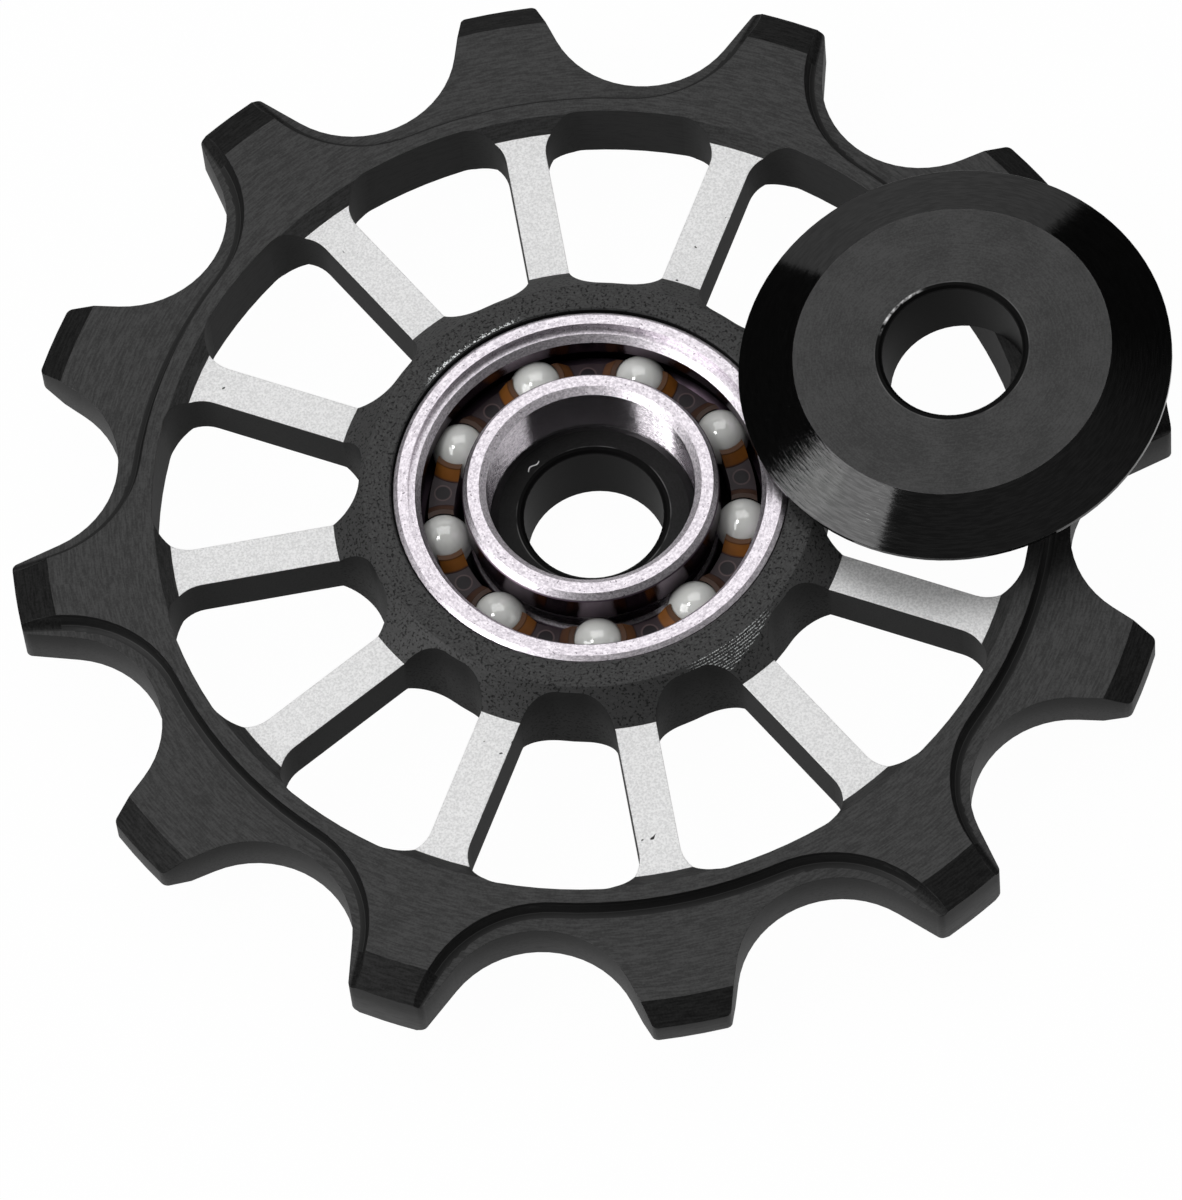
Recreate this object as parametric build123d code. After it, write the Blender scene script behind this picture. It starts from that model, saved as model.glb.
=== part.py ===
from build123d import *
import os
from math import acos, asin, atan2, cos, degrees, radians, sin, sqrt, tan

# Derailleur jockey wheel, millimetres. Z is the spin axis and z = 0 is the flat outer face of the
# lower cap, on which the wheel lies. Spokes and teeth stand at every 30 degrees from +X.

# Chain and tooth form
chain_pitch = 12.7
tooth_count = 12
roller_diameter = 7.75
seat_clearance = 0.025
seat_radius = 4.36
tip_diameter = 50.25
tip_width = 3.3
tip_corner = 0.3

# Narrow and wide teeth: the raised face runs round the rim and out along every second tooth
narrow_thickness = 2.1
wide_thickness = 3.4
gap_ledge = 1.04
raised_tip_width = 2.3
raised_flank_angle = 9.0
raised_blend = 5.5
step_fillet = 0.5

# Conical relief at the tooth tips: length along the tooth, and the wall that is left at the tip
narrow_relief = 1.1
narrow_tip_wall = 1.15
wide_relief = 1.55
wide_tip_wall = 2.4

# Web, spokes and hub
web_thickness = 2.3
spoke_width = 1.76
rim_width = 1.67
window_outer_corner = 1.6
hub_window_wall = 1.5
window_inner_corner = 1.6
corner_share = 0.96
rim_cone_width = 0.63
rim_land = 0.08
hub_land = 1.3
hub_cone_width = 1.39
hub_bore_chamfer = 0.15

# Bearing
bearing_bore = 9.0
bearing_diameter = 17.0
bearing_width = 5.0
ring_corner = 0.2
inner_corner = 0.3
ball_diameter = 2.38
ball_count = 9
ball_play = 0.02
ball_circle_shift = 0.05
race_ratio = 1.04
first_ball_angle = 22.3
outer_shoulder_offset = 0.8
inner_shoulder_offset = 1.0
seal_ledge_width = 0.28
seal_floor_width = 0.23
seal_step_depth = 0.4
inner_step_width = 0.25

# Crown cage
cage_outer_gap = 0.25
cage_inner_gap = 0.45
pocket_play = 0.06
cage_floor = 0.4
cage_deck_height = 0.25
claw_height = 0.72
claw_foot = 0.45
claw_lip = 0.2
dimple_diameter = 0.7
dimple_groove = 0.1
dimple_depth = 0.08

# End caps
cap_diameter = 18.72
cap_face_diameter = 13.74
cap_cone_drop = 1.15
cap_edge = 0.2
cap_boss_height = 0.15
cap_boss_margin = 0.05
spigot_end_gap = 0.6
spigot_clearance = 0.02
spigot_chamfer = 0.35
axle_bore = 6.05
axle_chamfer = 0.15

# Where the upper cap rests on the wheel
upper_cap_angle = 6.65
upper_cap_inset = 2.33
rest_gap = 0.02

# Worked out from the sizes above
pitch_angle = 360 / tooth_count
tip_radius = tip_diameter / 2
pitch_radius = chain_pitch / (2 * sin(radians(pitch_angle / 2)))
root_radius = pitch_radius - roller_diameter / 2 - seat_clearance
seat_centre = root_radius + seat_radius
raised_rim_radius = root_radius - gap_ledge
window_outer_radius = root_radius - rim_width
hub_radius = bearing_diameter / 2 + hub_land
window_inner_radius = bearing_diameter / 2 + hub_window_wall
rim_cone_top = window_outer_radius - rim_land
ball_radius = ball_diameter / 2
ball_circle = (bearing_bore + bearing_diameter) / 4 + ball_circle_shift
inner_shoulder = ball_circle - inner_shoulder_offset
inner_lip = inner_shoulder - inner_step_width
outer_shoulder = ball_circle + outer_shoulder_offset
outer_lip = outer_shoulder + seal_floor_width + seal_ledge_width
race_radius = ball_radius * race_ratio
cap_thickness = cap_cone_drop + cap_edge + cap_boss_height
spigot_length = (bearing_width - spigot_end_gap) / 2
spigot_radius = bearing_bore / 2 - spigot_clearance
cap_length = cap_thickness + spigot_length
mid_height = cap_thickness + bearing_width / 2
upper_cap_reach = window_outer_radius - upper_cap_inset

# How far cutters stand past the material, and how near two points count as the same
cut_margin = 1.0
same_place = 0.01


def polar(radius, angle):
    """Point in the XY plane at an angle in degrees."""
    return Vector(radius * cos(radians(angle)), radius * sin(radians(angle)))


def turned(points, arc=360):
    """Solid of revolution about Z from (radius, height) points, joined by straight lines."""
    section = Plane.XZ * make_face(Polyline(*points, close=True))
    return revolve(section, Axis.Z, arc)


def tooth_outline():
    """Toothed outline: round gaps, straight flanks that touch them, and arcs at the tips."""
    half_gap = pitch_angle / 2
    tip_half_angle = degrees(asin(tip_width / 2 / tip_radius))
    corner = polar(tip_radius, half_gap - tip_half_angle)
    centre = Vector(seat_centre, 0)
    reach = corner - centre
    contact_angle = degrees(atan2(reach.Y, reach.X) + acos(seat_radius / reach.length))
    touch = centre + polar(seat_radius, contact_angle)
    gap = Line(corner, touch) + ThreePointArc(touch, (root_radius, 0), (touch.X, -touch.Y))
    gap += Line((touch.X, -touch.Y), (corner.X, -corner.Y))
    tip = ThreePointArc(corner, polar(tip_radius, half_gap), polar(tip_radius, half_gap + tip_half_angle))
    edges = []
    for tooth in range(tooth_count):
        edges += (Rot(Z=pitch_angle * (tooth + 0.5)) * (gap + tip)).edges()
    outline = make_face(edges)
    tips = [v for v in outline.vertices() if v.distance_to(Vertex()) > tip_radius - same_place]
    return fillet(tips, tip_corner)


def raised_outline():
    """Outline of the raised face: a ring with a tapering tongue out along every second tooth."""
    far = tip_radius + 2 * cut_margin
    near = raised_rim_radius / 2
    slope = tan(radians(raised_flank_angle))

    def half_width(radius):
        return raised_tip_width / 2 + (tip_radius - radius) * slope

    tongue = make_face(Polyline((near, half_width(near)), (near, -half_width(near)),
                                (far, -half_width(far)), (far, half_width(far)), close=True))
    face = Circle(raised_rim_radius)
    for tooth in range(0, tooth_count, 2):
        face += Rot(Z=pitch_angle * tooth) * tongue
    roots = [v for v in face.vertices() if abs(v.distance_to(Vertex()) - raised_rim_radius) < same_place]
    return fillet(roots, raised_blend)


def step_cutter():
    """Material cleared above the narrow teeth, with a rounded foot against the raised face."""
    outer = tip_radius + cut_margin
    floor = narrow_thickness / 2
    cutter = Pos(Z=floor) * extrude(Circle(outer) - raised_outline(), wide_thickness)
    bottom = Vector(0, 0, floor)
    foot = [e for e in cutter.edges().filter_by_position(Axis.Z, floor - same_place, floor + same_place)
            if (e @ 0.5 - bottom).length < outer - same_place]
    return fillet(foot, step_fillet)


def tip_relief(relief, thickness, tip_wall, arc):
    """Cone cut off the top of the tips, over an arc that starts at +X."""
    slope = (thickness - tip_wall) / 2 / relief
    outer = tip_radius + cut_margin
    top = thickness / 2 + cut_margin
    return turned([(tip_radius - relief, thickness / 2), (outer, tip_wall / 2 - cut_margin * slope),
                   (outer, top), (tip_radius - relief, top)], arc)


def window():
    """One opening between two spokes, centred on +X, with rounded corners."""
    half_spoke = spoke_width / 2
    half_gap = pitch_angle / 2

    def side(radius):
        return Vector(sqrt(radius**2 - half_spoke**2), -half_spoke).rotate(Axis.Z, half_gap)

    inner, outer = side(window_inner_radius), side(window_outer_radius)
    edges = [Line(inner, outer), Line((inner.X, -inner.Y), (outer.X, -outer.Y)),
             ThreePointArc(inner, (window_inner_radius, 0), (inner.X, -inner.Y)),
             ThreePointArc(outer, (window_outer_radius, 0), (outer.X, -outer.Y))]
    face = make_face(edges)
    face = fillet(face.vertices().sort_by(Axis.X)[2:], window_outer_corner)
    inner_corner_limit = corner_share * abs(inner.Y)
    return fillet(face.vertices().sort_by(Axis.X)[:2], min(window_inner_corner, inner_corner_limit))


def toothed_wheel():
    """Wheel milled from one disc, modelled about its mid plane and then lifted into place."""
    wheel = extrude(tooth_outline(), wide_thickness / 2, both=True)
    steps = step_cutter()
    wide_relief_cut = tip_relief(wide_relief, wide_thickness, wide_tip_wall, 360)
    narrow_cut = tip_relief(narrow_relief, narrow_thickness, narrow_tip_wall, pitch_angle)
    web, rim, hub = web_thickness / 2, wide_thickness / 2, bearing_width / 2
    rim_slope = rim_cone_width / (rim - web)
    pocket = turned([(0, web), (rim_cone_top - rim_cone_width, web),
                     (rim_cone_top + cut_margin * rim_slope, rim + cut_margin), (0, rim + cut_margin)])
    cutters = [steps, wide_relief_cut, pocket]
    cutters += [Rot(Z=pitch_angle * (tooth + 0.5)) * narrow_cut for tooth in range(0, tooth_count, 2)]
    for cutter in cutters:
        wheel = wheel - cutter - mirror(cutter, Plane.XY)
    cone_foot = hub_radius + hub_cone_width
    bore = bearing_diameter / 2
    edge = bore + hub_bore_chamfer
    wheel += turned([(bore, hub - hub_bore_chamfer), (edge, hub), (hub_radius, hub), (cone_foot, web),
                     (cone_foot, -web), (hub_radius, -hub), (edge, -hub), (bore, -hub + hub_bore_chamfer)])
    wheel -= Cylinder(bore, bearing_width + cut_margin)
    opening = extrude(window(), bearing_width, both=True)
    wheel -= [Rot(Z=pitch_angle * (gap + 0.5)) * opening for gap in range(tooth_count)]
    return Pos(Z=mid_height) * wheel


def race_groove(bottom_radius, inward):
    """Torus that cuts a ball groove whose bottom lies at the given radius."""
    centre = bottom_radius - race_radius if inward else bottom_radius + race_radius
    return Torus(centre, race_radius)


def bearing_outer_ring():
    """Outer ring with its ball groove and the stepped seal seats on both sides."""
    half, outer = bearing_width / 2, bearing_diameter / 2
    ledge, floor = half - seal_step_depth, half - 2 * seal_step_depth
    upper = [(outer, half - ring_corner), (outer - ring_corner, half), (outer_lip, half), (outer_lip, ledge),
             (outer_lip - seal_ledge_width, ledge), (outer_shoulder, floor)]
    ring = turned(upper + [(radius, -height) for radius, height in reversed(upper)])
    ring -= race_groove(ball_circle + ball_radius + ball_play, True)
    return Pos(Z=mid_height) * ring


def bearing_inner_ring():
    """Inner ring with its ball groove and a step for the seal lip on both sides."""
    half, bore = bearing_width / 2, bearing_bore / 2
    ledge = half - seal_step_depth
    upper = [(bore, half - inner_corner), (bore + inner_corner, half), (inner_lip, half),
             (inner_shoulder, ledge)]
    ring = turned(upper + [(radius, -height) for radius, height in reversed(upper)])
    ring -= race_groove(ball_circle - ball_radius - ball_play, False)
    return Pos(Z=mid_height) * ring


def ball_angle(number):
    return first_ball_angle + 360 / ball_count * number


def ball(number):
    return Pos(Z=mid_height) * Pos(*polar(ball_circle, ball_angle(number))) * Sphere(ball_radius)


def ball_cage():
    """Crown cage: a ring under the balls, two blunt claws beside each, and a round mark on each deck."""
    pocket = ball_radius + pocket_play
    inner, outer = inner_shoulder + cage_inner_gap, outer_shoulder - cage_outer_gap
    bottom = -pocket - cage_floor
    cage = turned([(inner, bottom), (outer, bottom), (outer, cage_deck_height), (inner, cage_deck_height)])
    mouth_half = sqrt(pocket**2 - claw_height**2)
    lip_half = mouth_half + claw_lip
    foot_half = pocket + claw_foot
    claw_side = [(-foot_half, 0), (foot_half, 0), (foot_half, cage_deck_height),
                 (lip_half, claw_height), (-lip_half, claw_height), (-foot_half, cage_deck_height)]
    claws = extrude(Plane.YZ * make_face(Polyline(*claw_side, close=True)), outer + cut_margin)
    shell = turned([(inner, 0), (outer, 0), (outer, claw_height), (inner, claw_height)])
    mouth = Box(outer - inner + cut_margin, 2 * mouth_half, 2 * claw_height)
    mouth = Pos(X=ball_circle, Z=claw_height) * mouth
    mark = Cylinder(dimple_diameter / 2, 2 * dimple_depth)
    mark -= Cylinder(dimple_diameter / 2 - dimple_groove, 2 * dimple_depth)
    for number in range(ball_count):
        cage += shell & (Rot(Z=ball_angle(number)) * claws)
    for number in range(ball_count):
        cage -= Pos(*polar(ball_circle, ball_angle(number))) * Sphere(pocket)
        cage -= Rot(Z=ball_angle(number)) * mouth
        cage -= Pos(Z=cage_deck_height) * Pos(*polar(ball_circle, ball_angle(number + 0.5))) * mark
    return Pos(Z=mid_height) * cage


def end_cap():
    """End cap with its outer face down on z = 0 and its spigot pointing up."""
    bore = axle_bore / 2
    rim = cap_diameter / 2
    back = cap_cone_drop + cap_edge
    boss = inner_lip - cap_boss_margin
    flange = [(bore + axle_chamfer, 0), (cap_face_diameter / 2, 0), (rim, cap_cone_drop), (rim, back),
              (boss, back), (boss, cap_thickness)]
    spigot = [(spigot_radius, cap_thickness), (spigot_radius, cap_length - spigot_chamfer),
              (spigot_radius - spigot_chamfer, cap_length)]
    hole = [(bore + axle_chamfer, cap_length), (bore, cap_length - axle_chamfer), (bore, axle_chamfer)]
    return turned(flange + spigot + hole)


def upper_cap():
    """Second cap, off its seat: the spigot's end rests on the rim's edge and on one spoke."""
    foot = spigot_radius - spigot_chamfer
    rim_contact = (window_outer_radius**2 + upper_cap_reach**2 - foot**2) / (2 * upper_cap_reach)
    spoke_contact = upper_cap_reach - foot
    tilt = atan2((wide_thickness - web_thickness) / 2, rim_contact - spoke_contact)
    rim_top = mid_height + wide_thickness / 2
    foot_height = rim_top + rest_gap - (rim_contact - upper_cap_reach) * tan(tilt)
    flipped = Pos(Z=cap_length) * Rot(X=180) * end_cap()
    return Rot(Z=upper_cap_angle) * Pos(upper_cap_reach, 0, foot_height) * Rot(Y=-degrees(tilt)) * flipped


os.makedirs("parts", exist_ok=True)
nodes = {
    "toothed_wheel": toothed_wheel(),
    "bearing_outer_ring": bearing_outer_ring(),
    "bearing_inner_ring": bearing_inner_ring(),
    "ball_cage": ball_cage(),
    "lower_cap": end_cap(),
    "upper_cap": upper_cap(),
}
for number in range(ball_count):
    nodes[f"ball_{number + 1}"] = ball(number)
for name, shape in nodes.items():
    export_step(shape, f"parts/{name}.step")
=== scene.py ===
from math import atan2, cos, pi, radians, sin
import bpy
from mathutils import Matrix, Vector


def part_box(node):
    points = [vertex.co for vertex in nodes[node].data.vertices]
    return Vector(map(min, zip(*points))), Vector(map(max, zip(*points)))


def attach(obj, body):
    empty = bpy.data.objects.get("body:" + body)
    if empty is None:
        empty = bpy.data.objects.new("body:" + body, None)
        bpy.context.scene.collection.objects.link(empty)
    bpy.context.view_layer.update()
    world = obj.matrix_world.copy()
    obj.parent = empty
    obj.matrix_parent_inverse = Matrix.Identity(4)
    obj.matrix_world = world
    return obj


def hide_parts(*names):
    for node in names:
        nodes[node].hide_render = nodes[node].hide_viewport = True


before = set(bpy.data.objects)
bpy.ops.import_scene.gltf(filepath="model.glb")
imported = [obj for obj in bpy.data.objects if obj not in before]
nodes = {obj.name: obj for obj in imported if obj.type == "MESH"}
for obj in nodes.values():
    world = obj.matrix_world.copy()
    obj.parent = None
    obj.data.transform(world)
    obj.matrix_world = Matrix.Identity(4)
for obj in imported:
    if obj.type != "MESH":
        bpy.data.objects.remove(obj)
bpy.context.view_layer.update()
mm = 0.001
bpy.ops.object.select_all(action="DESELECT")

# Lower end cap
# A turned aluminium cap, anodised black, whose spigot stands in the bearing's bore.
# Only the spigot's end and the axle hole show from above; its flat outer face is the part's foot.


def new_material(name):
    material = bpy.data.materials.new(name)
    material.use_nodes = True
    return material, material.node_tree, material.node_tree.nodes["Principled BSDF"]


def add(tree, kind, **settings):
    """New node; settings are its properties, or inputs where the name is an input's."""
    node = tree.nodes.new(kind)
    for key, value in settings.items():
        if hasattr(node, key):
            setattr(node, key, value)
        else:
            node.inputs[key.replace("_", " ")].default_value = value
    return node


def feed(tree, value, target):
    """Link a socket, or set a plain value."""
    if hasattr(value, "is_linked"):
        tree.links.new(value, target)
    else:
        target.default_value = value


def grey(level):
    return (level, level, level, 1)


def maths(tree, operation, *values):
    """Math node on sockets or numbers, giving its output socket."""
    node = add(tree, "ShaderNodeMath", operation=operation)
    for target, value in zip(node.inputs, values):
        feed(tree, value, target)
    return node.outputs[0]


def both(tree, *masks):
    """Product of masks and shares."""
    product = masks[0]
    for mask in masks[1:]:
        product = maths(tree, "MULTIPLY", product, mask)
    return product


def mix(tree, kind, factor, first, second):
    """Socket between two values, vectors or colours, which have their own inputs on one node."""
    node = add(tree, "ShaderNodeMix", data_type=kind)
    start, output = {"FLOAT": (2, 0), "VECTOR": (4, 1), "RGBA": (6, 2)}[kind]
    for number, value in ((0, factor), (start, first), (start + 1, second)):
        feed(tree, value, node.inputs[number])
    return node.outputs[output]


def blend(tree, factor, first, second):
    return mix(tree, "FLOAT", factor, first, second)


def paint(tree, under, mask, over):
    """One colour over another where a mask is 1."""
    return mix(tree, "RGBA", mask, under, over)


def split(tree, vector):
    node = add(tree, "ShaderNodeSeparateXYZ")
    feed(tree, vector, node.inputs[0])
    return node.outputs


def noise(tree, vector, scale, detail=2.0):
    """Noise value; scale is in features per metre."""
    node = add(tree, "ShaderNodeTexNoise", Detail=detail)
    feed(tree, vector, node.inputs["Vector"])
    feed(tree, scale, node.inputs["Scale"])
    return node.outputs["Fac"]


def ramp(tree, value, low, high):
    """0 below low, 1 above high, smooth between; low may be above high."""
    node = add(tree, "ShaderNodeMapRange", interpolation_type="SMOOTHSTEP",
               From_Min=low, From_Max=high)
    feed(tree, value, node.inputs["Value"])
    return node.outputs["Result"]


def between(tree, value, low, high, edge):
    """1 from low to high, with soft edges."""
    return both(tree, ramp(tree, value, low - edge, low + edge),
                ramp(tree, value, high + edge, high - edge))


def new_effect(name, inputs, outputs):
    """Empty node group for an effect that several finishes share: its tree, inputs and outputs."""
    group = bpy.data.node_groups.new(name, "ShaderNodeTree")
    for socket, kind in inputs.items():
        group.interface.new_socket(socket, in_out="INPUT", socket_type=kind)
    for socket in outputs:
        group.interface.new_socket(socket, in_out="OUTPUT", socket_type="NodeSocketFloat")
    return (group, group.nodes.new("NodeGroupInput").outputs,
            group.nodes.new("NodeGroupOutput").inputs)


def use_effect(tree, effect, **sources):
    node = add(tree, "ShaderNodeGroup", node_tree=effect)
    for socket, source in sources.items():
        feed(tree, source, node.inputs[socket])
    return node.outputs


round_place, place_in, place_out = new_effect(
    "round_place", {"Vector": "NodeSocketVector"}, ("Radius", "Angle", "Height"))
x, y, z = split(round_place, place_in["Vector"])
squares = maths(round_place, "ADD", both(round_place, x, x), both(round_place, y, y))
feed(round_place, maths(round_place, "SQRT", squares), place_out["Radius"])
feed(round_place, maths(round_place, "ARCTAN2", y, x), place_out["Angle"])
feed(round_place, z, place_out["Height"])

mark_stretch = 3.0 * mm
turned_lines, lines_in, lines_out = new_effect(
    "turned_lines",
    {socket: "NodeSocketFloat" for socket in ("Radius", "Angle", "Height", "Fineness")}, ("Lines",))
along = add(turned_lines, "ShaderNodeCombineXYZ")
stretched = maths(turned_lines, "MULTIPLY", lines_in["Angle"], mark_stretch)
feed(turned_lines, stretched, along.inputs["X"])
feed(turned_lines, lines_in["Radius"], along.inputs["Y"])
feed(turned_lines, lines_in["Height"], along.inputs["Z"])
feed(turned_lines, noise(turned_lines, along.outputs[0], lines_in["Fineness"]), lines_out["Lines"])

grain_scale, cloud_scale, speck_scale = 11000, 600, 8500
fine_grain, grain_in, grain_out = new_effect(
    "fine_grain", {"Vector": "NodeSocketVector"}, ("Grain", "Cloud", "Specks"))
feed(fine_grain, noise(fine_grain, grain_in["Vector"], grain_scale, 3), grain_out["Grain"])
feed(fine_grain, noise(fine_grain, grain_in["Vector"], cloud_scale), grain_out["Cloud"])
specks = noise(fine_grain, grain_in["Vector"], speck_scale, 1)
feed(fine_grain, ramp(fine_grain, specks, 0.69, 0.74), grain_out["Specks"])


def object_place(tree):
    return add(tree, "ShaderNodeTexCoord").outputs["Object"]


def read_surface(tree, place, fineness, turn_share=1.0):
    """Place round an axis, its turning lines and its grain; a small turn_share makes long lines."""
    at = use_effect(tree, round_place, Vector=place)
    angle = maths(tree, "MULTIPLY", at["Angle"], turn_share)
    marks = use_effect(tree, turned_lines, Radius=at["Radius"], Angle=angle, Height=at["Height"],
                       Fineness=fineness)
    return at, marks["Lines"], use_effect(tree, fine_grain, Vector=place)


def soft_edges(tree, radius):
    """Normal of a surface whose edges look rounded to a given radius."""
    return add(tree, "ShaderNodeBevel", samples=4, Radius=radius).outputs[0]


def roughen(tree, height, depth, normal):
    """Normal with a relief of a given depth on top of another normal."""
    bump = add(tree, "ShaderNodeBump", Strength=1.0, Distance=depth)
    feed(tree, height, bump.inputs["Height"])
    feed(tree, normal, bump.inputs["Normal"])
    return bump.outputs[0]


def dress(name, material):
    mesh = nodes[name].data
    mesh.materials.clear()
    mesh.materials.append(material)


cap_face_radius = 6.87 * mm
cap_hole_radius = 3.03 * mm
cap_rim_radius = 3.31 * mm
cap_edge_round = 0.04 * mm
cap_line_depth = 0.0045 * mm
cap_fineness, cap_turn_share = 13000, 0.3
flat_dark, flat_light = grey(0.048), grey(0.075)
flat_painted_shade = grey(0.012)
cone_dark, cone_light = grey(0.042), grey(0.058)
rim_painted_shade, hole_painted_shade = grey(0.008), grey(0.016)
lip_painted_highlight = grey(0.12)
flat_metal, cone_metal, hole_metal = 0.5, 0.95, 0.3


def cap_finish(name, place, turn, shade, wear_and_glint):
    """Black anodising over turning marks round the cap's own axis, matt on the flat and shiny on
    the cone, with painted shade on the hole's chamfer and wall and a painted highlight at the
    chamfer's outer edge. Shade is painted shade that darkens the flat; wear_and_glint gives the
    mask and the colour of one scuffed place on the lower cap, and of one painted glint on the
    upper."""
    material, tree, shader = new_material(name)
    mapping = add(tree, "ShaderNodeMapping", vector_type="TEXTURE", Location=place, Rotation=turn)
    feed(tree, object_place(tree), mapping.inputs["Vector"])
    own = mapping.outputs["Vector"]
    at, lines, grain = read_surface(tree, own, cap_fineness, cap_turn_share)
    radius = at["Radius"]
    cone = ramp(tree, radius, cap_face_radius - 0.03 * mm, cap_face_radius + 0.01 * mm)
    hole = ramp(tree, radius, cap_hole_radius + 0.03 * mm, cap_hole_radius + 0.01 * mm)
    # painted shade: near black over the hole's chamfer and a strip past it
    rim = between(tree, radius, cap_hole_radius + 0.02 * mm, cap_rim_radius, 0.015 * mm)
    # painted highlight: a thin broken light ring at the chamfer's outer edge
    lip = between(tree, radius, cap_rim_radius + 0.01 * mm, cap_rim_radius + 0.05 * mm, 0.015 * mm)
    lip = both(tree, lip, ramp(tree, grain["Cloud"], 0.42, 0.62))

    tone = maths(tree, "MULTIPLY", grain["Grain"], 0.4)
    tone = maths(tree, "MULTIPLY_ADD", grain["Cloud"], 0.3, tone)
    tone = ramp(tree, maths(tree, "MULTIPLY_ADD", lines, 0.3, tone), 0.35, 0.65)
    face = paint(tree, flat_dark, tone, flat_light)
    # painted shade: the flat darkened by the shade factor; on the lower cap this is the spigot's
    # end, deep in the bearing's bore
    face = paint(tree, face, shade, flat_painted_shade)
    turned = paint(tree, cone_dark, ramp(tree, lines, 0.35, 0.65), cone_light)
    face = paint(tree, face, cone, turned)
    # painted shade on the rim, a painted highlight on the lip, and painted shade on the hole's wall
    face = paint(tree, face, rim, rim_painted_shade)
    face = paint(tree, face, lip, lip_painted_highlight)
    # painted shade: the hole's wall darker than the flat
    face = paint(tree, face, hole, hole_painted_shade)
    # the lower cap's scratch is real scuffing; the upper cap's bright patches are a painted glint
    wear_and_glint_mask, bright = wear_and_glint(tree, at, own)
    feed(tree, paint(tree, face, wear_and_glint_mask, bright), shader.inputs["Base Color"])

    metal = blend(tree, hole, blend(tree, cone, flat_metal, cone_metal), hole_metal)
    feed(tree, metal, shader.inputs["Metallic"])
    matt = maths(tree, "MULTIPLY_ADD", grain["Grain"], 0.1, 0.42)
    shiny = maths(tree, "MULTIPLY_ADD", lines, 0.05, 0.05)
    feed(tree, blend(tree, cone, matt, shiny), shader.inputs["Roughness"])
    shader.inputs["Specular IOR Level"].default_value = 0.0
    height = blend(tree, cone, maths(tree, "MULTIPLY", grain["Grain"], 0.5), lines)
    worked = roughen(tree, height, cap_line_depth, soft_edges(tree, cap_edge_round))
    smooth = add(tree, "ShaderNodeNewGeometry").outputs["Normal"]
    feed(tree, mix(tree, "VECTOR", hole, worked, smooth), shader.inputs["Normal"])
    return material


scratch_radius = 3.58 * mm
scratch_swing, scratch_half = 0.06 * mm, 0.03 * mm
scratch_waves = 34
scratch_start, scratch_end, scratch_edge = radians(122), radians(133), radians(0.5)
scratch_bright = grey(0.8)
# painted shade for the lower cap's spigot end, which lies deep in the bearing's bore
spigot_painted_shade = 0.78


def spigot_scratch(tree, at, own):
    """Short wavy scratch through the black on the spigot's end."""
    swing = maths(tree, "SINE", maths(tree, "MULTIPLY", at["Angle"], scratch_waves))
    wave = maths(tree, "MULTIPLY_ADD", swing, scratch_swing, scratch_radius)
    line = maths(tree, "COMPARE", at["Radius"], wave, scratch_half)
    reach = between(tree, at["Angle"], scratch_start, scratch_end, scratch_edge)
    return both(tree, line, reach), scratch_bright


dress("lower_cap", cap_finish("lower_cap_black", place=(0, 0, 0), turn=(0, 0, 0),
                              shade=spigot_painted_shade, wear_and_glint=spigot_scratch))

# Bearing rings
# Hardened chrome steel, turned and ground: bright faces with small pits, a bore brushed round and
# round, and painted shade on the tracks for the balls and the walls beside them, deep between the
# rings. The outer ring is pressed into the hub.
bore_reach = 4.7 * mm
inner_shoulder = 5.48 * mm
outer_shoulder = 7.3 * mm
track_half = 1.68 * mm
mid_height = (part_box("toothed_wheel")[0].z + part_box("toothed_wheel")[1].z) / 2
steel_fineness = 11000
steel_dark, steel_light = (0.52, 0.48, 0.525, 1), (0.88, 0.83, 0.88, 1)
steel_pit = (0.10, 0.085, 0.105, 1)
track_painted_shade = (0.11, 0.08, 0.105, 1)
ring_edge_round = 0.03 * mm
ring_line_depth = 0.001 * mm
slope_roll = (1, 1, 3)
groove_tilt, groove_spread = 0.85, 0.3
upright_below = 0.25


def without(tree, mask):
    return maths(tree, "SUBTRACT", 1.0, mask)


def vector_maths(tree, operation, *vectors):
    """Vector Math node on sockets or plain vectors, giving its outputs."""
    node = add(tree, "ShaderNodeVectorMath", operation=operation)
    for target, vector in zip(node.inputs, vectors):
        feed(tree, vector, target)
    return node.outputs


def steel(name):
    """Bright steel with pits, with painted shade where the balls run and on the walls beside them.
    """
    material, tree, shader = new_material(name)
    at, lines, grain = read_surface(tree, object_place(tree), steel_fineness)
    tone = maths(tree, "MULTIPLY_ADD", lines, 0.5, maths(tree, "MULTIPLY", grain["Grain"], 0.5))
    colour = paint(tree, steel_dark, ramp(tree, tone, 0.35, 0.65), steel_light)
    colour = paint(tree, colour, both(tree, grain["Specks"], 0.8), steel_pit)
    height = maths(tree, "ABSOLUTE", maths(tree, "SUBTRACT", at["Height"], mid_height))
    # painted shade: dark inside the bearing where the balls run, on the tracks and the walls beside
    # them; the outer ring's seat stays bright
    seat = both(tree, ramp(tree, at["Radius"], outer_shoulder, outer_shoulder + 0.03 * mm),
                ramp(tree, height, track_half, track_half + 0.04 * mm))
    shaded_track = both(tree, ramp(tree, at["Radius"], inner_shoulder, inner_shoulder + 0.04 * mm),
                 without(tree, seat))
    feed(tree, paint(tree, colour, shaded_track, track_painted_shade), shader.inputs["Base Color"])
    shader.inputs["Metallic"].default_value = 1.0
    return material, tree, shader, at, lines, grain


def ring_face_finish():
    """The rings' level faces, and slopes that are rolled over and catch the light from above."""
    material, tree, shader, _, lines, grain = steel("ring_face")
    feed(tree, maths(tree, "MULTIPLY_ADD", grain["Grain"], 0.12, 0.28), shader.inputs["Roughness"])
    raised = vector_maths(tree, "MULTIPLY", soft_edges(tree, ring_edge_round), slope_roll)["Vector"]
    rolled = vector_maths(tree, "NORMALIZE", raised)["Vector"]
    feed(tree, roughen(tree, lines, ring_line_depth, rolled), shader.inputs["Normal"])
    return material


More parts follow.
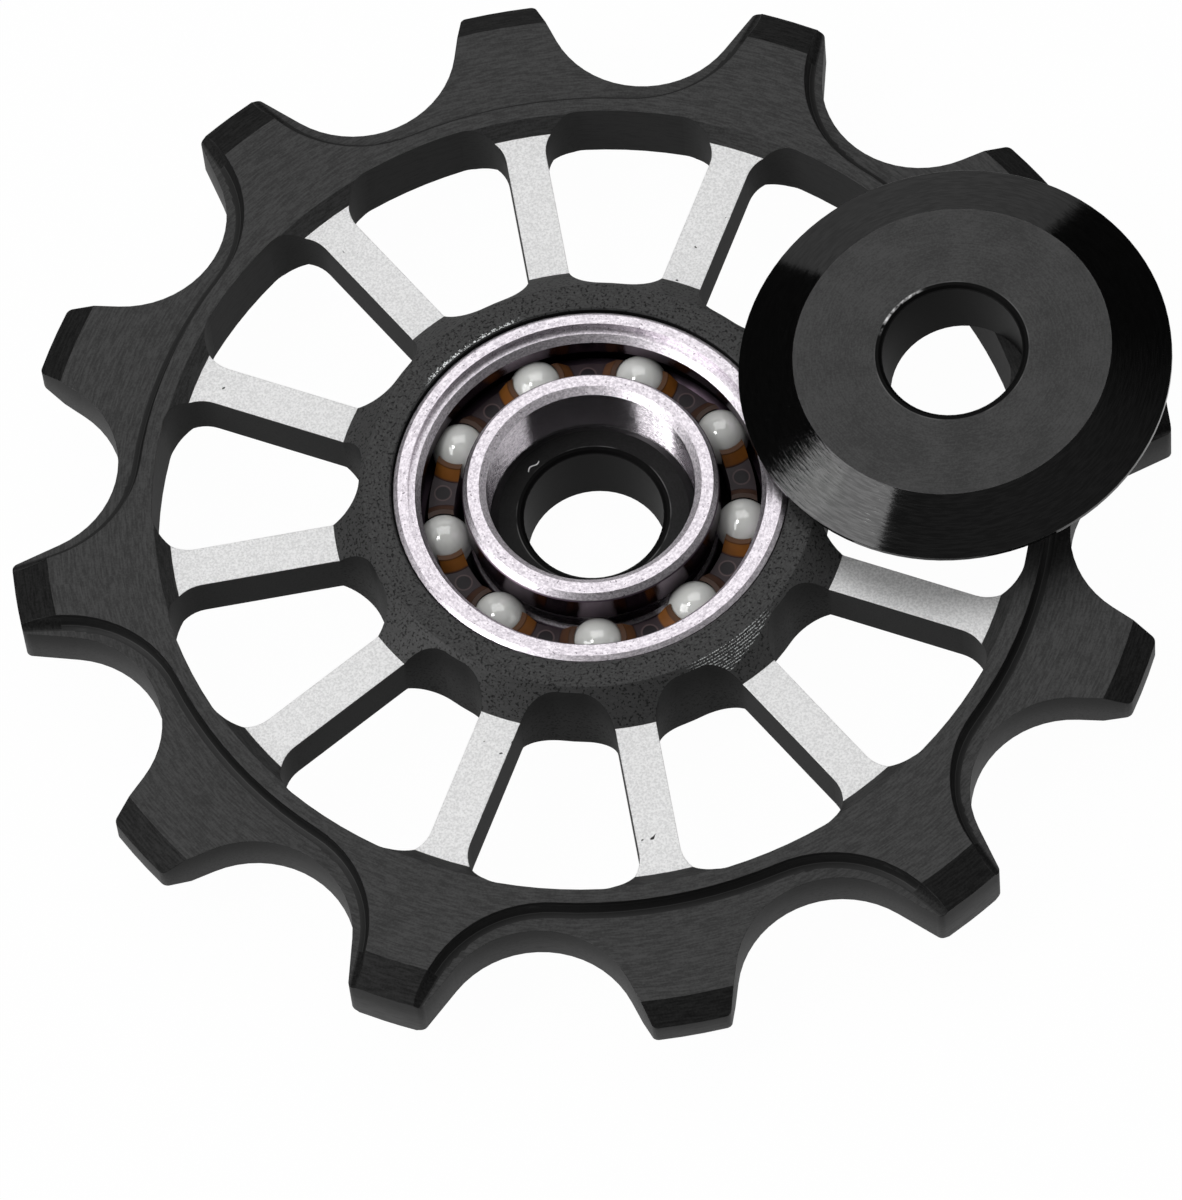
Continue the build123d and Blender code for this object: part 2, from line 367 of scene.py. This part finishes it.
def ring_wall_finish():
    """The rings' upright faces: grooves left by grinding tilt the light of the bore upwards."""
    material, tree, shader, at, lines, _ = steel("ring_wall")
    feed(tree, maths(tree, "MULTIPLY_ADD", lines, 0.1, 0.13), shader.inputs["Roughness"])
    shader.inputs["Anisotropic"].default_value = 0.9
    shader.inputs["Anisotropic Rotation"].default_value = 0.25
    tangent = add(tree, "ShaderNodeTangent", direction_type="RADIAL", axis="Z")
    feed(tree, tangent.outputs[0], shader.inputs["Tangent"])
    bore = ramp(tree, at["Radius"], bore_reach, bore_reach - 0.05 * mm)
    lift = add(tree, "ShaderNodeCombineXYZ")
    tilt = maths(tree, "MULTIPLY_ADD", lines, groove_spread, groove_tilt)
    feed(tree, both(tree, bore, tilt), lift.inputs["Z"])
    surface = add(tree, "ShaderNodeNewGeometry").outputs["Normal"]
    leaning = vector_maths(tree, "ADD", surface, lift.outputs[0])["Vector"]
    feed(tree, vector_maths(tree, "NORMALIZE", leaning)["Vector"], shader.inputs["Normal"])
    return material


ring_face = ring_face_finish()
ring_wall = ring_wall_finish()
for name in ("bearing_inner_ring", "bearing_outer_ring"):
    dress(name, ring_face)
    nodes[name].data.materials.append(ring_wall)
    for polygon in nodes[name].data.polygons:
        polygon.material_index = int(abs(polygon.normal.z) < upright_below)

# Balls
# Nine balls of white ceramic, ground round and polished, and a touch translucent.
# They run between the rings' tracks, each held between two claws of the cage.
ball_count = 9
ball_cloud_scale = 900
ball_dull, ball_white = (0.77, 0.78, 0.75, 1), (0.87, 0.88, 0.85, 1)


def ball_finish():
    material, tree, shader = new_material("ball_ceramic")
    cloud = noise(tree, object_place(tree), ball_cloud_scale)
    feed(tree, paint(tree, ball_dull, cloud, ball_white), shader.inputs["Base Color"])
    feed(tree, maths(tree, "MULTIPLY_ADD", cloud, 0.04, 0.03), shader.inputs["Roughness"])
    shader.inputs["IOR"].default_value = 2.1
    shader.inputs["Subsurface Weight"].default_value = 0.2
    shader.inputs["Subsurface Radius"].default_value = (0.4, 0.4, 0.36)
    shader.inputs["Subsurface Scale"].default_value = 1 * mm
    return material


ball_ceramic = ball_finish()
for number in range(1, ball_count + 1):
    dress(f"ball_{number}", ball_ceramic)

# Ball cage
# One moulding of brown polymer: a ring under the balls with a cup of two claws round each of them.
# The claws are painted orange on one side, as painted light falling through them; the decks between
# them lie deep and are painted dark as shade, and their round mark is painted as a shaded dimple
# with a lit rim.
ball_pitch = radians(360 / ball_count)
first_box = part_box("ball_1")
first_ball = atan2(first_box[0].y + first_box[1].y, first_box[0].x + first_box[1].x)
ball_circle = 6.55 * mm
cage_inner, cage_outer = 6.0 * mm, 7.1 * mm
cage_bottom, deck_top, claw_top = -1.65 * mm, 0.25 * mm, 0.72 * mm
pocket_radius = 1.25 * mm
cup_foot, cup_top = 1.85 * mm, 1.24 * mm
cup_height = 0.62 * mm
disc_sides, cup_sides, pocket_sides, pocket_rings = 180, 64, 64, 40
smooth_angle = radians(30)
mark_radius, mark_edge = 0.33 * mm, 0.06 * mm
cage_cloud_scale = 1500
deck_painted_shade_dark, deck_painted_shade_light = (0.026, 0.017, 0.021, 1), (0.056, 0.038, 0.043, 1)
mark_painted_shade, mark_painted_highlight = (0.012, 0.008, 0.011, 1), (0.105, 0.070, 0.072, 1)
painted_glow_dark, painted_glow_light = (0.18, 0.062, 0.010, 1), (0.34, 0.125, 0.022, 1)
brown_dark, brown_light = (0.058, 0.029, 0.019, 1), (0.125, 0.067, 0.046, 1)
lip_brown, lip_share = (0.040, 0.018, 0.010, 1), 0.7


def disc(radius, bottom, top):
    """Round disc about the wheel's axis, between two heights from the wheel's middle."""
    bpy.ops.mesh.primitive_cylinder_add(vertices=disc_sides, radius=radius, depth=top - bottom,
                                        location=(0, 0, mid_height + (bottom + top) / 2))
    bpy.ops.object.transform_apply(location=True, rotation=True, scale=True)
    return bpy.context.object


def cup(centre):
    middle = (centre[0], centre[1], centre[2] + claw_top - cup_height / 2)
    bpy.ops.mesh.primitive_cone_add(vertices=cup_sides, radius1=cup_foot, radius2=cup_top,
                                    depth=cup_height, location=middle)


def pocket(centre):
    bpy.ops.mesh.primitive_uv_sphere_add(segments=pocket_sides, ring_count=pocket_rings,
                                         radius=pocket_radius, location=centre)


def one_at_each_ball(make):
    """One mesh of nine equal forms, each standing at a ball's centre."""
    forms = []
    for number in range(ball_count):
        turn = first_ball + number * ball_pitch
        make((ball_circle * cos(turn), ball_circle * sin(turn), mid_height))
        forms.append(bpy.context.object)
    for form in forms:
        form.select_set(True)
    bpy.context.view_layer.objects.active = forms[0]
    bpy.ops.object.join()
    bpy.ops.object.transform_apply(location=True, rotation=True, scale=True)
    return bpy.context.object


def carve(body, form, operation):
    """Boolean of a body with another form, which is used up."""
    step = body.modifiers.new("carve", "BOOLEAN")
    step.operation = operation
    step.solver = "EXACT"
    step.object = form
    bpy.context.view_layer.objects.active = body
    bpy.ops.object.modifier_apply(modifier=step.name)
    bpy.data.objects.remove(form)
    bpy.ops.object.select_all(action="DESELECT")


cage = disc(1.2 * cage_outer, cage_bottom, deck_top)
carve(cage, one_at_each_ball(cup), "UNION")
tube = disc(cage_outer, 2 * cage_bottom, 2 * claw_top)
carve(tube, disc(cage_inner, 3 * cage_bottom, 3 * claw_top), "DIFFERENCE")
carve(cage, tube, "INTERSECT")
carve(cage, one_at_each_ball(pocket), "DIFFERENCE")
cage.name = "crown_cage"
cage.select_set(True)
bpy.context.view_layer.objects.active = cage
bpy.ops.object.shade_smooth_by_angle(angle=smooth_angle)
bpy.ops.object.select_all(action="DESELECT")
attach(cage, "cage")
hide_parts("ball_cage")


def cage_finish():
    """Brown polymer: decks painted dark as shade, a round mark painted as a shaded dimple with a
    lit rim, and claws painted orange on one side as light falling through them.
    """
    material, tree, shader = new_material("cage_brown")
    coords = object_place(tree)
    at = use_effect(tree, round_place, Vector=coords)
    cloud = noise(tree, coords, cage_cloud_scale)
    from_first = maths(tree, "SUBTRACT", at["Angle"], first_ball)
    past_ball = maths(tree, "WRAP", from_first, ball_pitch / 2, -ball_pitch / 2)
    past_mark = maths(tree, "SUBTRACT", maths(tree, "ABSOLUTE", past_ball), ball_pitch / 2)
    across = maths(tree, "MULTIPLY", past_mark, ball_circle)
    outward = maths(tree, "SUBTRACT", at["Radius"], ball_circle)
    squares = maths(tree, "ADD", both(tree, across, across), both(tree, outward, outward))
    from_mark = maths(tree, "SQRT", squares)

    # painted shade: the decks lie deep between the claws and are painted dark
    deck = paint(tree, deck_painted_shade_dark, cloud, deck_painted_shade_light)
    # the round pin mark: painted shade inside its dimple and a painted highlight on its rim
    deck = paint(tree, deck, ramp(tree, from_mark, mark_radius, mark_radius - 0.04 * mm), mark_painted_shade)
    edge = between(tree, from_mark, mark_radius, mark_radius + mark_edge, 0.02 * mm)
    deck = paint(tree, deck, edge, mark_painted_highlight)
    # painted light: the claws orange on the side where light falls through them, brown on the other
    lit_side = maths(tree, "MULTIPLY", past_ball, maths(tree, "COSINE", at["Angle"]))
    orange = paint(tree, painted_glow_dark, cloud, painted_glow_light)
    brown = paint(tree, brown_dark, cloud, brown_light)
    claw = paint(tree, brown, ramp(tree, lit_side, 0.14, -0.14), orange)
    lip_height = mid_height + claw_top
    lip = ramp(tree, at["Height"], lip_height - 0.06 * mm, lip_height - 0.02 * mm)
    claw = paint(tree, claw, both(tree, lip, lip_share), lip_brown)
    claws = ramp(tree, at["Height"], mid_height + deck_top, mid_height + deck_top + 0.1 * mm)
    feed(tree, paint(tree, deck, claws, claw), shader.inputs["Base Color"])
    feed(tree, maths(tree, "MULTIPLY_ADD", cloud, 0.2, 0.3), shader.inputs["Roughness"])
    shader.inputs["Specular IOR Level"].default_value = 0.25
    return material


cage.data.materials.clear()
cage.data.materials.append(cage_finish())

# Toothed wheel
# Milled and turned from one disc of aluminium, anodised black all over; the spokes' flat faces
# were skimmed afterwards, so they are bare silver metal. The hub's face has small dark pits.
web_half = 1.15 * mm
spoke_inner, spoke_outer = 11.1 * mm, 18.35 * mm
hub_edge, hub_land, hub_foot = 8.58 * mm, 9.8 * mm, 11.2 * mm
rim_inside = 19.5 * mm
relief_start = 23.5 * mm
tip_start = 24.9 * mm
step_line, step_line_half = 1.145 * mm, 0.01 * mm
wheel_edge_round = 0.05 * mm
wheel_line_depth = 0.006 * mm
wheel_fineness = 12000
pore_scale, pit_scale, dash_scale, nick_scale = 8500, 2400, 17000, 9000
wall_top_shade_share, side_line_share = 0.75, 0.35
hub_face_lighten_share, cone_painted_light_share = 0.12, 0.32
pore_share, edge_wear_and_highlight_share = 0.8, 0.5
face_dark, face_light = grey(0.041), grey(0.071)
window_wall_painted_shade, rim_wall_painted_light, tip_wall_painted_light = grey(0.036), grey(0.066), grey(0.082)
wall_top_painted_shade, side_line = grey(0.010), grey(0.020)
relief_painted_shade_dark, relief_painted_shade_light = grey(0.014), grey(0.029)
step_painted_shade_low, step_painted_shade_high, step_painted_highlight = grey(0.034), grey(0.020), grey(0.055)
hub_lightening = grey(0.12)
pore_black, gap_painted_shade = grey(0.012), grey(0.006)
edge_wear_and_highlight = grey(0.14)
wear_and_glint_white = (0.85, 0.88, 0.88, 1)
silver_dark, silver_light = grey(0.67), grey(0.91)
silver_pit = grey(0.04)
window_metal, rim_metal, face_metal, relief_metal, silver_metal = 0.2, 0.4, 0.45, 0.5, 0.6
patch_start, patch_end, patch_edge = radians(-73), radians(-51), radians(4)
patch_top = 9.77 * mm
patch_slope, patch_reach = -2.2 * mm, 8.1 * mm
row_pitch = 0.095 * mm
nick_start, nick_end, nick_edge = radians(103), radians(133), radians(4)
nick_foot = 8.635 * mm
nick_spread, nick_reach = 0.6 * mm, 8.44 * mm


def nicks_and_painted_glints(tree, coords, radius, angle):
    """Rows of dashes painted as glints on the turning marks of the hub's cone, and nicks from
    scuffing along its bore's edge.
    """
    # painted glints: rows of white dashes on the turning marks of the hub's cone
    row_phase = maths(tree, "MULTIPLY", radius, 2 * pi / row_pitch)
    rows = ramp(tree, maths(tree, "SINE", row_phase), 0.0, 0.7)
    patch_foot = maths(tree, "MULTIPLY_ADD", angle, patch_slope, patch_reach)
    patch = both(tree, between(tree, angle, patch_start, patch_end, patch_edge),
                 ramp(tree, radius, patch_top - 0.02 * mm, patch_top + 0.02 * mm),
                 maths(tree, "LESS_THAN", radius, patch_foot))
    nick_top = maths(tree, "MULTIPLY_ADD", noise(tree, coords, nick_scale), nick_spread, nick_reach)
    nicks = both(tree, between(tree, angle, nick_start, nick_end, nick_edge),
                 ramp(tree, radius, nick_foot - 0.015 * mm, nick_foot + 0.015 * mm),
                 maths(tree, "LESS_THAN", radius, nick_top))
    dashes = ramp(tree, noise(tree, coords, dash_scale, 1), 0.48, 0.54)
    return both(tree, maths(tree, "MAXIMUM", both(tree, patch, rows), nicks), dashes)


def wheel_finish():
    """Black anodising with painted shade and light on the walls, reliefs, step and hub's bore edge,
    painted highlight on edges, a lighter hub and painted glints on its cone; silver on the spokes.
    """
    material, tree, shader = new_material("wheel_black")
    coords = object_place(tree)
    at, lines, grain = read_surface(tree, coords, wheel_fineness)
    radius, angle = at["Radius"], at["Angle"]
    surface = add(tree, "ShaderNodeNewGeometry").outputs["True Normal"]
    upright = maths(tree, "ABSOLUTE", split(tree, surface)["Z"])
    level = ramp(tree, upright, 0.970, 0.985)
    flat = ramp(tree, upright, 0.988, 0.997)
    wall = ramp(tree, upright, 0.35, 0.15)
    open_face = without(tree, wall)
    outside = ramp(tree, radius, rim_inside - 0.1 * mm, rim_inside)
    above = maths(tree, "SUBTRACT", at["Height"], mid_height)
    height = maths(tree, "ABSOLUTE", above)
    bare = both(tree, maths(tree, "COMPARE", height, web_half, 0.03 * mm), level,
                between(tree, radius, spoke_inner, spoke_outer, 0.02 * mm))
    hub = ramp(tree, radius, hub_foot + 0.1 * mm, hub_foot - 0.1 * mm)
    hub_cone = both(tree, hub, ramp(tree, radius, hub_land - 0.03 * mm, hub_land + 0.03 * mm))
    relief = both(tree, ramp(tree, radius, relief_start - 0.1 * mm, relief_start),
                  without(tree, maths(tree, "MAXIMUM", level, wall)))
    step = both(tree, outside, without(tree, relief),
                without(tree, maths(tree, "MAXIMUM", flat, wall)))
    soft = soft_edges(tree, wheel_edge_round)
    bend = vector_maths(tree, "DOT_PRODUCT", soft, surface)["Value"]
    edge = both(tree, ramp(tree, bend, 0.95, 0.80), ramp(tree, grain["Cloud"], 0.40, 0.65))

    # painted shade and light on the walls: darker in the windows, lighter round the rim and lighter
    # still at the tips
    side = paint(tree, window_wall_painted_shade, outside, rim_wall_painted_light)
    side = paint(tree, side, ramp(tree, radius, tip_start - 0.05 * mm, tip_start), tip_wall_painted_light)
    # painted shade: the walls darker towards their tops, lighter towards the floor
    rim_wall_top_shade = both(tree, outside, ramp(tree, above, -0.9 * mm, 1.0 * mm), wall_top_shade_share)
    side = paint(tree, side, rim_wall_top_shade, wall_top_painted_shade)
    hub_wall_top_shade = both(tree, hub, ramp(tree, above, -0.8 * mm, 1.8 * mm), wall_top_shade_share)
    side = paint(tree, side, hub_wall_top_shade, wall_top_painted_shade)
    side = paint(tree, side, both(tree, ramp(tree, lines, 0.45, 0.7), side_line_share), side_line)

    tone = maths(tree, "MULTIPLY_ADD", lines, 0.6, maths(tree, "MULTIPLY", grain["Grain"], 0.4))
    tone = ramp(tree, tone, 0.32, 0.68)
    dark = paint(tree, face_dark, tone, face_light)
    dark = paint(tree, dark, wall, side)
    # painted shade: the sloped reliefs are darker copies of the face colour
    dark = paint(tree, dark, relief, paint(tree, relief_painted_shade_dark, tone, relief_painted_shade_light))
    # painted shade on the step's slope, with a painted highlight line along it
    over_line = ramp(tree, height, step_line - 0.015 * mm, step_line + 0.015 * mm)
    step_shade_band = paint(tree, step_painted_shade_low, over_line, step_painted_shade_high)
    bright = between(tree, height, step_line - step_line_half, step_line + step_line_half,
                     0.008 * mm)
    dark = paint(tree, dark, step, paint(tree, step_shade_band, bright, step_painted_highlight))
    # the hub's face painted a little lighter; its cone lighter still, as painted light
    dark = paint(tree, dark, both(tree, hub, hub_face_lighten_share, open_face), hub_lightening)
    dark = paint(tree, dark, both(tree, hub_cone, cone_painted_light_share, open_face), hub_lightening)
    pores = ramp(tree, noise(tree, coords, pore_scale, 3), 0.51, 0.66)
    dark = paint(tree, dark, both(tree, hub, pores, pore_share), pore_black)
    # edges lighter in patches: scuffs, and painted highlight where rounded edges catch the light
    dark = paint(tree, dark, both(tree, edge, edge_wear_and_highlight_share), edge_wear_and_highlight)
    # painted shade: near black at the hub's bore edge, next to the bearing's outer ring
    gap_shade = ramp(tree, radius, hub_edge + 0.02 * mm, hub_edge - 0.02 * mm)
    dark = paint(tree, dark, gap_shade, gap_painted_shade)
    # white nicks from scuffing on the bore's edge, and painted glints on the hub's cone
    wear_and_glint_mask = nicks_and_painted_glints(tree, coords, radius, angle)
    dark = paint(tree, dark, both(tree, wear_and_glint_mask, open_face), wear_and_glint_white)

    silver = paint(tree, silver_dark, ramp(tree, grain["Grain"], 0.3, 0.7), silver_light)
    pits = ramp(tree, noise(tree, coords, pit_scale, 1), 0.79, 0.81)
    silver = paint(tree, silver, pits, silver_pit)
    feed(tree, paint(tree, dark, bare, silver), shader.inputs["Base Color"])
    metal = blend(tree, wall, blend(tree, relief, face_metal, relief_metal),
                  blend(tree, outside, window_metal, rim_metal))
    feed(tree, blend(tree, bare, metal, silver_metal), shader.inputs["Metallic"])
    feed(tree, maths(tree, "MULTIPLY_ADD", grain["Grain"], 0.12, 0.38), shader.inputs["Roughness"])
    shader.inputs["Specular IOR Level"].default_value = 0.0
    tall = blend(tree, relief, maths(tree, "MULTIPLY", grain["Grain"], 0.3), lines)
    feed(tree, roughen(tree, tall, wheel_line_depth, soft), shader.inputs["Normal"])
    return material


dress("toothed_wheel", wheel_finish())

# Upper end cap
# The same cap as below, taken off: black anodised aluminium, with a painted glint on the hole's
# rim.
# It lies loose and a little tilted; its spigot's end rests on the rim's edge and on one spoke.
cap_turn = radians(6.65)
cap_reach = 16.635 * mm
cap_height = 5.54 * mm
cap_tilt = radians(5.15)
cap_place = Vector((cap_reach * cos(cap_turn), cap_reach * sin(cap_turn), cap_height))
glint_start, glint_end, glint_edge = radians(100), radians(140), radians(8)
glint_inner = 3.20 * mm
glint_scale = 3000
glint_bright = grey(0.75)


def rim_painted_glint(tree, at, own):
    """Painted glint in patches on one side of the hole's rim, where the chamfer catches the light.
    """
    place = both(tree, between(tree, at["Angle"], glint_start, glint_end, glint_edge),
                 between(tree, at["Radius"], glint_inner, cap_rim_radius, 0.03 * mm))
    patches = ramp(tree, noise(tree, own, glint_scale, 3), 0.35, 0.65)
    return both(tree, place, patches), glint_bright


dress("upper_cap", cap_finish("upper_cap_black", place=cap_place, turn=(0, -cap_tilt, cap_turn),
                              shade=0.0, wear_and_glint=rim_painted_glint))

# Floor, light and camera
# A white table, a large soft box behind and above the wheel, a box at the left that the cap's cone
# mirrors, low boxes at both sides, a small lamp for the sparkle on the balls, and the photo's view.
floor_size = 3.0
floor_glow = 0.98
bpy.ops.mesh.primitive_plane_add(size=floor_size, location=(0, 0, 0))
floor = bpy.context.object
floor.name = "floor"
material, tree, shader = new_material("floor_white")
shader.inputs["Base Color"].default_value = grey(0.9)
shader.inputs["Roughness"].default_value = 0.9
glow = add(tree, "ShaderNodeEmission", Color=grey(1), Strength=1.0)
path = add(tree, "ShaderNodeLightPath")
through = maths(tree, "MAXIMUM", path.outputs["Is Glossy Ray"], path.outputs["Is Transmission Ray"])
seen = maths(tree, "MAXIMUM", path.outputs["Is Camera Ray"], through)
surface = add(tree, "ShaderNodeMixShader")
feed(tree, maths(tree, "MULTIPLY", seen, floor_glow), surface.inputs["Fac"])
feed(tree, shader.outputs[0], surface.inputs[1])
feed(tree, glow.outputs[0], surface.inputs[2])
feed(tree, surface.outputs[0], tree.nodes["Material Output"].inputs["Surface"])
floor.data.materials.append(material)

lamp_distance = 0.6


def soft_box(name, direction, width, height, radiance, level=(1, 0, 0)):
    """Rectangular lamp aimed at the wheel; radiance is how bright its face is, and level is the
    direction of its width."""
    lamp = bpy.data.lights.new(name, "AREA")
    lamp.shape = "RECTANGLE"
    lamp.size, lamp.size_y = width, height
    lamp.energy = radiance * width * height * pi
    box = bpy.data.objects.new(name, lamp)
    bpy.context.scene.collection.objects.link(box)
    facing = Vector(direction).normalized()
    side = (Vector(level) - facing * facing.dot(Vector(level))).normalized()
    box.matrix_world = Matrix.Translation(facing * lamp_distance) @ \
        Matrix((side, facing.cross(side), facing)).transposed().to_4x4()


soft_box("top_box", direction=(0.03, 0.43, 0.90), width=0.55, height=0.42, radiance=1.3)
soft_box("left_box", direction=(-0.746, -0.163, 0.645), width=0.39, height=0.32, radiance=2.8,
         level=(0.846, -0.457, 0.274))
soft_box("left_edge_box", direction=(-0.736, 0.026, 0.678), width=0.14, height=0.10, radiance=0.7,
         level=(0.463, -0.889, 0.309))
soft_box("left_low_box", direction=(-0.86, -0.33, 0.30), width=0.35, height=0.25, radiance=1.0,
         level=(0, 1, 0))
soft_box("right_low_box", direction=(0.875, -0.235, 0.42), width=0.60, height=0.30, radiance=0.62,
         level=(0, 1, 0))
soft_box("back_box", direction=(0.0, 0.95, 0.31), width=0.53, height=0.30, radiance=0.55)
soft_box("high_lamp", direction=(-0.41, -0.05, 0.91), width=0.12, height=0.12, radiance=10.0)

low_sky, high_sky, matt_sky = 0.012, 0.18, 0.22
sky_start, sky_full = 0.65, 0.97
world = bpy.data.worlds.new("studio")
bpy.context.scene.world = world
world.use_nodes = True
tree = world.node_tree
background = tree.nodes["Background"]
background.inputs["Color"].default_value = grey(1)
rise = split(tree, add(tree, "ShaderNodeTexCoord").outputs["Generated"])["Z"]
mirrored = blend(tree, ramp(tree, rise, sky_start, sky_full), low_sky, high_sky)
on_matt = add(tree, "ShaderNodeLightPath").outputs["Is Diffuse Ray"]
feed(tree, blend(tree, on_matt, mirrored, matt_sky), background.inputs["Strength"])

photo_width, photo_height = 1182, 1200
focal_pixels = 10208.9
view_elevation = radians(62.338)
view_turn = radians(-3.787)
view_roll = radians(-6.572)
view_distance = 438.43 * mm
aim = Vector((-0.537 * mm, -4.297 * mm, 0))
turn = Matrix.Rotation(view_turn, 3, "Z")
back = turn @ Vector((0, -cos(view_elevation), sin(view_elevation)))
level_right = turn @ Vector((1, 0, 0))
level_up = turn @ Vector((0, sin(view_elevation), cos(view_elevation)))
right = cos(view_roll) * level_right + sin(view_roll) * level_up
up = cos(view_roll) * level_up - sin(view_roll) * level_right
camera_data = bpy.data.cameras.new("camera")
camera_data.sensor_width = 36
camera_data.lens = focal_pixels / max(photo_width, photo_height) * camera_data.sensor_width
camera_data.clip_start, camera_data.clip_end = 0.01, 10
camera = bpy.data.objects.new("camera", camera_data)
bpy.context.scene.collection.objects.link(camera)
view_centre = turn @ aim + Vector((0, 0, mid_height))
camera.matrix_world = Matrix.Translation(view_centre + back * view_distance) @ \
    Matrix((right, up, back)).transposed().to_4x4()
bpy.context.scene.camera = camera
bpy.context.scene.view_settings.view_transform = "Standard"
